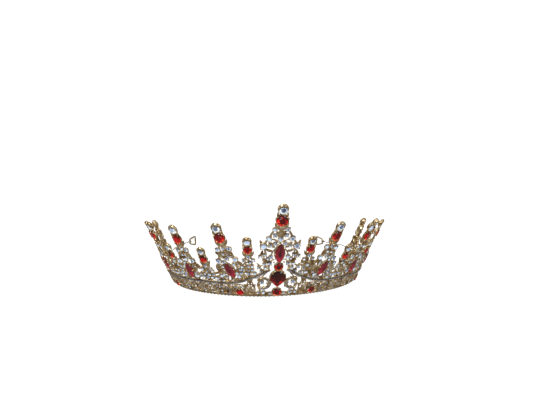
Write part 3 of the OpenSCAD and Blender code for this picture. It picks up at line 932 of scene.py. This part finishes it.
def centre_spike():
    """The tallest casting at the front, with every stone set in it."""
    metal, clear = Piece("vis_centre_spike", GILT), CENTRE_CLEAR
    place(at(0), metal, clear, LARGE, TIPS, MARQUISE, PEAR_STONE, COLLAR, BASE_RED)
    for x, y, r in CENTRE_BEADS:
        set_round(metal, clear, (x, y), r)
    tube(metal, [(-11.6, 1.5, 0.7), (11.6, 1.5, 0.7)], 0.75, 8, 0.9)
    marquise(metal, (0, CENTRE_MARQUISE_Y), CENTRE_MARQUISE_LENGTH, CENTRE_MARQUISE_WIDTH, 0)
    set_round(metal, COLLAR, (0, COLLAR_Y), COLLAR_R)
    set_round(metal, BASE_RED, (0, 3.2), CENTRE_BASE_RED_R)
    pear_setting(metal)
    for s in (-1, 1):
        # the outer edge, from the base up to the shoulder beads and the head
        vine(metal, (s * 10.2, 2), (s * 12.0, 8.5), s * 0.6, 0.6)
        vine(metal, (s * 12.0, 8.5), (s * 8.6, 15.5), -s * 0.6, 0.55)
        vine(metal, (s * 8.6, 15.5), (s * 5.4, 23.8), s * 0.8, 0.55)
        vine(metal, (s * 5.4, 23.8), (s * 9.0, 28), -s * 0.8, 0.5)
        vine(metal, (s * 9.0, 28), (s * 9.2, 34), s * 0.9, 0.6)
        vine(metal, (s * 9.4, 35.2), (s * 6.6, 39.9), -s * 0.5, 0.7)
        vine(metal, (s * 6.6, 39.9), (s * 3.6, 45.4), -s * 0.4, 0.7)
        vine(metal, (s * 3.6, 45.4), (s * 1.2, 49), -s * 0.3, 0.6)
        vine(metal, (s * 5.4, 23.8), (s * 4.9, 28.2), -s * 0.8, 0.5)
        vine(metal, (s * 4.9, 28.2), (s * 2.8, 33.5), -s * 0.6, 0.5)
        vine(metal, (s * 2.8, 26.5), (s * 5.4, 23.8), s * 0.8, 0.5)
        vine(metal, (s * 3.2, 34.5), (s * 8.2, 35.2), s * 0.9, 0.55)
        vine(metal, (s * 1.0, 37.6), (s * 6.0, 39.6), s * 0.8, 0.55)
        leaf(metal, (s * 3.0, 33.8), 90 - s * 48, 5.4, 2.2, 0.9, 0.5, s * 0.5)
        leaf(metal, (s * 4.0, 31.6), 90 - s * 66, 4.8, 1.7, 0.8, 0.5, -s * 0.4)
        leaf(metal, (s * 0.9, 40.4), 90 - s * 26, 5.0, 2.0, 0.9, 0.5, s * 0.4)
        leaf(metal, (s * 1.6, 45.0), 90 - s * 6, 4.0, 1.7, 0.8, 0.5)
        leaf(metal, (s * 6.4, 24.2), 90 - s * 52, 4.6, 1.8, 0.8, 0.5, s * 0.5)
        leaf(metal, (s * 9.6, 32.4), -90 + s * 6, 4.0, 1.6, 0.8, 0.5, s * 0.4)
        leaf(metal, (s * 10.4, 36.4), 90 - s * 24, 2.8, 1.5, 0.7, 0.5)
        leaf(metal, (s * 4.6, 6.4), 90 - s * 24, 4.0, 1.7, 0.8, 0.5, s * 0.4)
        leaf(metal, (s * 4.0, 2.0), 90 - s * 78, 3.4, 1.5, 0.7, 0.5)
        set_round(metal, clear, (s * 2.9, 36.6), 1.05)
        set_round(metal, clear, (s * 5.4, 35.6), 1.15)
        set_round(metal, clear, (s * 3.2, 41.8), 0.95)
        set_round(metal, clear, (s * 11.0, 28.6), 0.95)
        set_round(metal, clear, (s * 6.6, 27.0), 0.8)
        set_round(metal, clear, (s * 4.2, 2.2), 0.85)
        set_round(metal, clear, (s * 11.2, 3.0), 0.9)
        ball(metal, (s * 6.2, 0.8, 0.9), 0.55)
        ball(metal, (s * 9.9, 0.8, 0.9), 0.55)
        ball(metal, (s * 2.9, 24.6, 0.9), 0.6)
        for x, y in ((7.6, 20.6), (9.8, 18.4), (8.4, 23.4), (11.4, 21.2)):
            vine(metal, (s * x, y), (s * (x + 1.6), y + 3.0), s * 0.7, 0.5)
            vine(metal, (s * x, y), (s * (x - 2.0), y + 1.6), -s * 0.6, 0.5)
            set_round(metal, clear, (s * x, y), 1.0)
        for x, y, a in ((7.2, 4.8, 60), (4.2, 8.4, 30), (11.2, 6.0, 100), (12.0, 11.4, 120)):
            leaf(metal, (s * x, y), a if s > 0 else 180 - a, 3.2, 1.7, 0.8, 0.5)
    leaf(metal, (0, 37.2), 90, 2.8, 1.8, 0.9, 0.5)
    leaf(metal, (0, 40.8), 90, 6.6, 3.0, 1.1, 0.6)
    tube(metal, [(0, 24, 0.4), (0, 26, 0.4)], 0.6, 7)
    tube(metal, [(0, 37, 0.4), (0, 50, 0.4)], 0.6, 7)
    head(metal, CENTRE_RED_Y, CENTRE_RED_R, CENTRE_RED_Y + CENTRE_RISE, TIP_R, LARGE)
    metal.build("band", "gilt", ["centre_spike"])


def scroll(name, side, u, p, r):
    """A C scroll of pave on the front of a casting, open towards the outer side."""
    metal, pave = Piece("vis_" + name, GILT), PAVE[side]
    place(flip(side) @ at(u), metal, pave, CLEARS[side])
    count, height = 17, 1.75
    path, radii = [], []
    for i in range(count):
        t = i / (count - 1)
        a = math.radians(62 + 236 * t)
        path.append(Vector((p[0] + r * math.cos(a), p[1] + r * math.sin(a), height)))
        radii.append(1.2 - 0.25 * abs(2 * t - 1))
    tube(metal, path, radii, 8, 0.55)
    for i in range(count - 1):
        q = (path[i] + path[i + 1]) / 2
        round_stone(pave, (q.x, q.y), 0.42, 2.25)
    for q in (path[0], path[-1]):
        ball(metal, q, 0.95)
    vine(metal, (p[0] + r * 0.2, p[1] - r * 0.9), (p[0] + r * 0.75, p[1]), -0.5, 0.4, 1.3)
    set_round(metal, CLEARS[side], (p[0] + r * 0.25, p[1] + r * 0.05), min(1.25, r * 0.36))
    metal.build("band", "gilt", [name])


def sweep_y(x):
    """Height of the garland at a distance x from the front."""
    t = min(1, max(0, (x - SWEEP_A[0]) / (SWEEP_B[0] - SWEEP_A[0])))
    return SWEEP_B[1] + (SWEEP_A[1] - SWEEP_B[1]) * (1 - t) ** 1.9


def sweep_rise(x):
    """Slope of the garland at a distance x from the front."""
    return (sweep_y(x + 0.1) - sweep_y(x - 0.1)) / 0.2


def garland(side):
    """The pave strip of one side: a raised metal strip and its row of little stones."""
    metal, pave = Piece("vis_garland_" + side, GILT), PAVE[side]
    place(flip(side), metal)
    step, u, spots = 1.28, SWEEP_A[0], []
    while u < BAND_END - 1.2:
        spots.append(u)
        u += step / math.hypot(1, sweep_rise(u))
    # flat plates of the castings stand a little proud of the curve, so the strip does too
    outer = 1.95
    section = (
        (-0.95, 1.2),
        (-1.05, outer - 0.2),
        (-0.8, outer + 0.22),
        (-0.55, outer),
        (0.55, outer),
        (0.8, outer + 0.22),
        (1.05, outer - 0.2),
        (0.95, 1.2),
    )
    rings = []
    for u in spots:
        m = at(u)
        slope = math.atan(sweep_rise(u))
        up = Vector((-math.sin(slope), math.cos(slope), 0))
        c = Vector((0, sweep_y(u), 0))
        rings.append([m @ (c + up * k + Vector((0, 0, z))) for k, z in section])
    size = len(section)
    verts = [v for r in rings for v in r]
    faces = [f[::-1] for f in bridge(rings)]
    faces.append(list(range(size)))
    faces.append([(len(rings) - 1) * size + j for j in range(size)][::-1])
    metal.add(verts, faces)
    for u in spots[1:-1]:
        place(flip(side) @ at(u), pave)
        round_stone(pave, (0, sweep_y(u)), 0.56, outer + 0.05)
    metal.build("band", "gilt", ["garland_" + side])


def base_rail():
    """The flat rail under the castings, with beads of uneven size along its lower edge."""
    metal = Piece("vis_base_rail", RAIL)
    chamfer = 0.15
    profile = [
        (-RAIL_T, 0.6),
        (-RAIL_T + chamfer, 0.45),
        (-chamfer, 0.45),
        (0, 0.6),
        (0, RAIL_H - chamfer),
        (-chamfer, RAIL_H),
        (-RAIL_T + chamfer, RAIL_H),
        (-RAIL_T, RAIL_H - chamfer),
    ]
    band_sweep(metal, -BAND_END, BAND_END, profile, 150)
    u = -BAND_END + 1
    while u < BAND_END - 0.6:
        d = Vector((math.sin(heading(u)), -math.cos(heading(u)), 0))
        size = rng.uniform(0.62, 0.8)
        ball(metal, oval(u) - d * 0.55 + Vector((0, 0, size)), size)
        u += rng.uniform(1.9, 3.0)
    metal.build("band", "gilt", ["base_rail"])


def end_wire(side):
    """The bent wire from behind the last casting to the rolled eye that carries the loop."""
    metal, eye = Piece("vis_end_wire_" + side, WIRE), EYES[side]
    place(flip(side), metal)
    # it leaves along the band and bends in one arc, seen from above, with a slight wave in height
    start_z, wire_r = 18, 0.38
    h = heading(TALL_U[4])
    outward = (start_z - FOOT_Z) * math.tan(FLARE) - 0.3
    start = oval(TALL_U[4]) + outward * Vector((math.sin(h), -math.cos(h), 0)) + Vector((0, 0, start_z))
    chord = eye - start
    chord_h = math.atan2(chord.y, chord.x)
    radius = math.hypot(chord.x, chord.y) / (2 * math.sin(chord_h - h))
    centre = start + radius * Vector((-math.sin(h), math.cos(h), 0))
    turn = 2 * (chord_h - h)
    points = []
    for i in range(25):
        t = i / 24
        a = h - math.pi / 2 + turn * t * 0.97
        x, y = centre.x + radius * math.cos(a), centre.y + radius * math.sin(a)
        points.append(Vector((x, y, start.z + chord.z * t + 0.25 * math.sin(6 * math.pi * t))))
    tube(metal, points, wire_r, 8)
    angles = [2 * math.pi * i / 20 for i in range(20)]
    for k in (-0.5, 0, 0.5):
        ring = [eye + Vector((math.cos(a), math.sin(a), k + 0.06 * math.sin(a))) for a in angles]
        tube(metal, ring, 0.22, 6, closed=True)
    # the soldered coil round the last casting's stem
    place(flip(side) @ at(TALL_U[4]), metal)
    for k in range(4):
        x = 0.8 * k
        tube(metal, [(x - 1.2, 16.2, -0.1), (x - 1.1, 17.0, 0.2), (x - 0.9, 18.9, 0.1)], 0.3, 6)
    metal.build("band", "wire", ["end_wire_" + side])


def ribbon_loop(side):
    """A closed loop of thick wire, narrow in the eye and wide outside, with rounded corners."""
    metal = Piece("vis_ribbon_loop_" + side, LOOP)
    place(flip(side) @ Matrix.Translation(EYES[side]) @ Matrix.Rotation(LOOP_HEADING, 4, "Z"), metal)
    corners = [Vector((0, 0, -1.9)), Vector((0, 0, 1.9)), Vector((6.4, 0, 3.6)), Vector((6.4, 0, -3.6))]
    cuts = (0.5, 0.5, 1.3, 1.3)  # how far from each corner its bend begins
    points = []
    for i in range(4):
        following = (i + 1) % 4
        before, corner, after = corners[i - 1], corners[i], corners[following]
        p = corner + (before - corner).normalized() * cuts[i]
        q = corner + (after - corner).normalized() * cuts[i]
        for j in range(6):
            t = j / 5
            points.append(p * (1 - t) ** 2 + corner * 2 * t * (1 - t) + q * t ** 2)
        bend = after + (corner - after).normalized() * cuts[following]
        for t in (0.33, 0.66):
            points.append(q * (1 - t) + bend * t)
    tube(metal, points, 0.68, 10, closed=True)
    metal.build("loop_" + side, "gilt", ["ribbon_loop_" + side])


base_rail()
centre_spike()
for side in ("left", "right"):
    for n in range(5):
        tall_spike(n, side)
    for n in range(3):
        small_spike(n, side)
    scroll("centre_scroll_" + side, side, 0, (8.6, 10.4), 3.7)
    scroll("flank_scroll_" + side, side, TALL_U[0], (3.7, 4.6), 2.6)
    garland(side)
    end_wire(side)
    ribbon_loop(side)
SLOTS = {
    RUBY: "ruby_stone",
    BURGUNDY: "burgundy_stone",
    PEAR: "dark_red_stone",
    CLEAR: "clear_stone",
    SMOKE: "smoke_stone",
}
for name, piece in stones.items():
    piece.build("band", SLOTS[piece.material], [name])

# ---------------------------------------------------------------- floor, light and camera
scene = bpy.context.scene


def stage_mesh(name, verts, faces, material):
    mesh = bpy.data.meshes.new(name)
    mesh.from_pydata(verts, [], faces)
    mesh.materials.append(material)
    for p in mesh.polygons:
        p.use_smooth = True
    obj = bpy.data.objects.new(name, mesh)
    scene.collection.objects.link(obj)
    return obj


def cyclorama():
    """A round floor that curves up into a wall all the way round, and glows to stay near white."""
    m, nodes, links, bsdf = node_material("pale_floor")
    coord = nodes.new("ShaderNodeTexCoord").outputs["Object"]
    paper = noise(nodes, links, coord, 40, 4)
    colour = ramp(nodes, [(0.3, (0.2, 0.2, 0.2)), (0.7, (0.24, 0.24, 0.24))])
    links.new(paper.outputs["Fac"], colour.inputs["Fac"])
    links.new(colour.outputs["Color"], bsdf.inputs["Base Color"])
    bsdf.inputs["Roughness"].default_value = 0.9
    bsdf.inputs["Emission Color"].default_value = (1, 1, 1, 1)
    bsdf.inputs["Emission Strength"].default_value = 0.94
    floor_r, bend_r, wall_h, sides = 1.5, 0.6, 2.4, 48
    quarter = [math.pi / 24 * i for i in range(13)]
    bend = [(floor_r + bend_r * math.sin(a), bend_r - bend_r * math.cos(a)) for a in quarter]
    line = [(0.2, 0), (1.45, 0)] + bend + [(floor_r + bend_r, wall_h)]
    angles = [2 * math.pi * k / sides for k in range(sides)]
    rings = [[(r * math.cos(a), r * math.sin(a), z) for a in angles] for r, z in line]
    verts = [v for ring in rings for v in ring]
    faces = [f[::-1] for f in bridge(rings)] + [list(range(sides))]
    stage_mesh("floor", verts, faces, m).visible_glossy = False


def area(name, position, target, size, power, colour=(1, 1, 1)):
    """A rectangular light that faces its target."""
    data = bpy.data.lights.new(name, "AREA")
    data.shape = "RECTANGLE"
    data.size, data.size_y = size
    data.energy = power
    data.color = colour
    obj = bpy.data.objects.new(name, data)
    scene.collection.objects.link(obj)
    obj.location = position
    obj.rotation_euler = (Vector(target) - Vector(position)).to_track_quat("-Z", "Y").to_euler()


cyclorama()
MIDDLE = (0, 0, 0.03)
area("key", (-0.34, -0.42, 0.62), MIDDLE, (0.22, 0.22), 2.4, (1, 0.98, 0.95))
area("fill", (0.5, -0.5, 0.3), MIDDLE, (0.16, 0.3), 0.6, (0.92, 0.96, 1))
area("low", (-0.1, -0.7, 0.12), MIDDLE, (0.5, 0.05), 0.25)
area("top", (0.0, 0.1, 0.8), (0, 0, 0), (0.5, 0.3), 0.7)
area("rim", (0.1, 0.7, 0.4), MIDDLE, (0.6, 0.2), 0.8, (0.95, 0.98, 1))

world = bpy.data.worlds.new("studio")
scene.world = world
world.use_nodes = True
background = world.node_tree.nodes["Background"]
background.inputs["Color"].default_value = (0.56, 0.52, 0.48, 1)
background.inputs["Strength"].default_value = 0.46

CAMERA_AZ, CAMERA_EL, CAMERA_D = math.radians(-7.4), math.radians(13.9), 0.2667
CAMERA_LENS, CAMERA_SENSOR = 23.785, 36
CAMERA_SHIFT_X, CAMERA_SHIFT_Y = 0.00246, 0.13944
TARGET = Vector((0, 0, FOOT_Z * MM))
camera_data = bpy.data.cameras.new("camera")
camera = bpy.data.objects.new("camera", camera_data)
scene.collection.objects.link(camera)
scene.camera = camera
level = math.cos(CAMERA_EL)
back = Vector((math.sin(CAMERA_AZ) * level, -math.cos(CAMERA_AZ) * level, math.sin(CAMERA_EL)))
camera.location = TARGET + back * CAMERA_D
camera.rotation_euler = (-back).to_track_quat("-Z", "Y").to_euler()
camera_data.sensor_width = CAMERA_SENSOR
camera_data.lens = CAMERA_LENS
camera_data.shift_x = CAMERA_SHIFT_X
camera_data.shift_y = CAMERA_SHIFT_Y
camera_data.clip_start = 0.01
scene.view_settings.view_transform = "Standard"

bpy.context.view_layer.update()
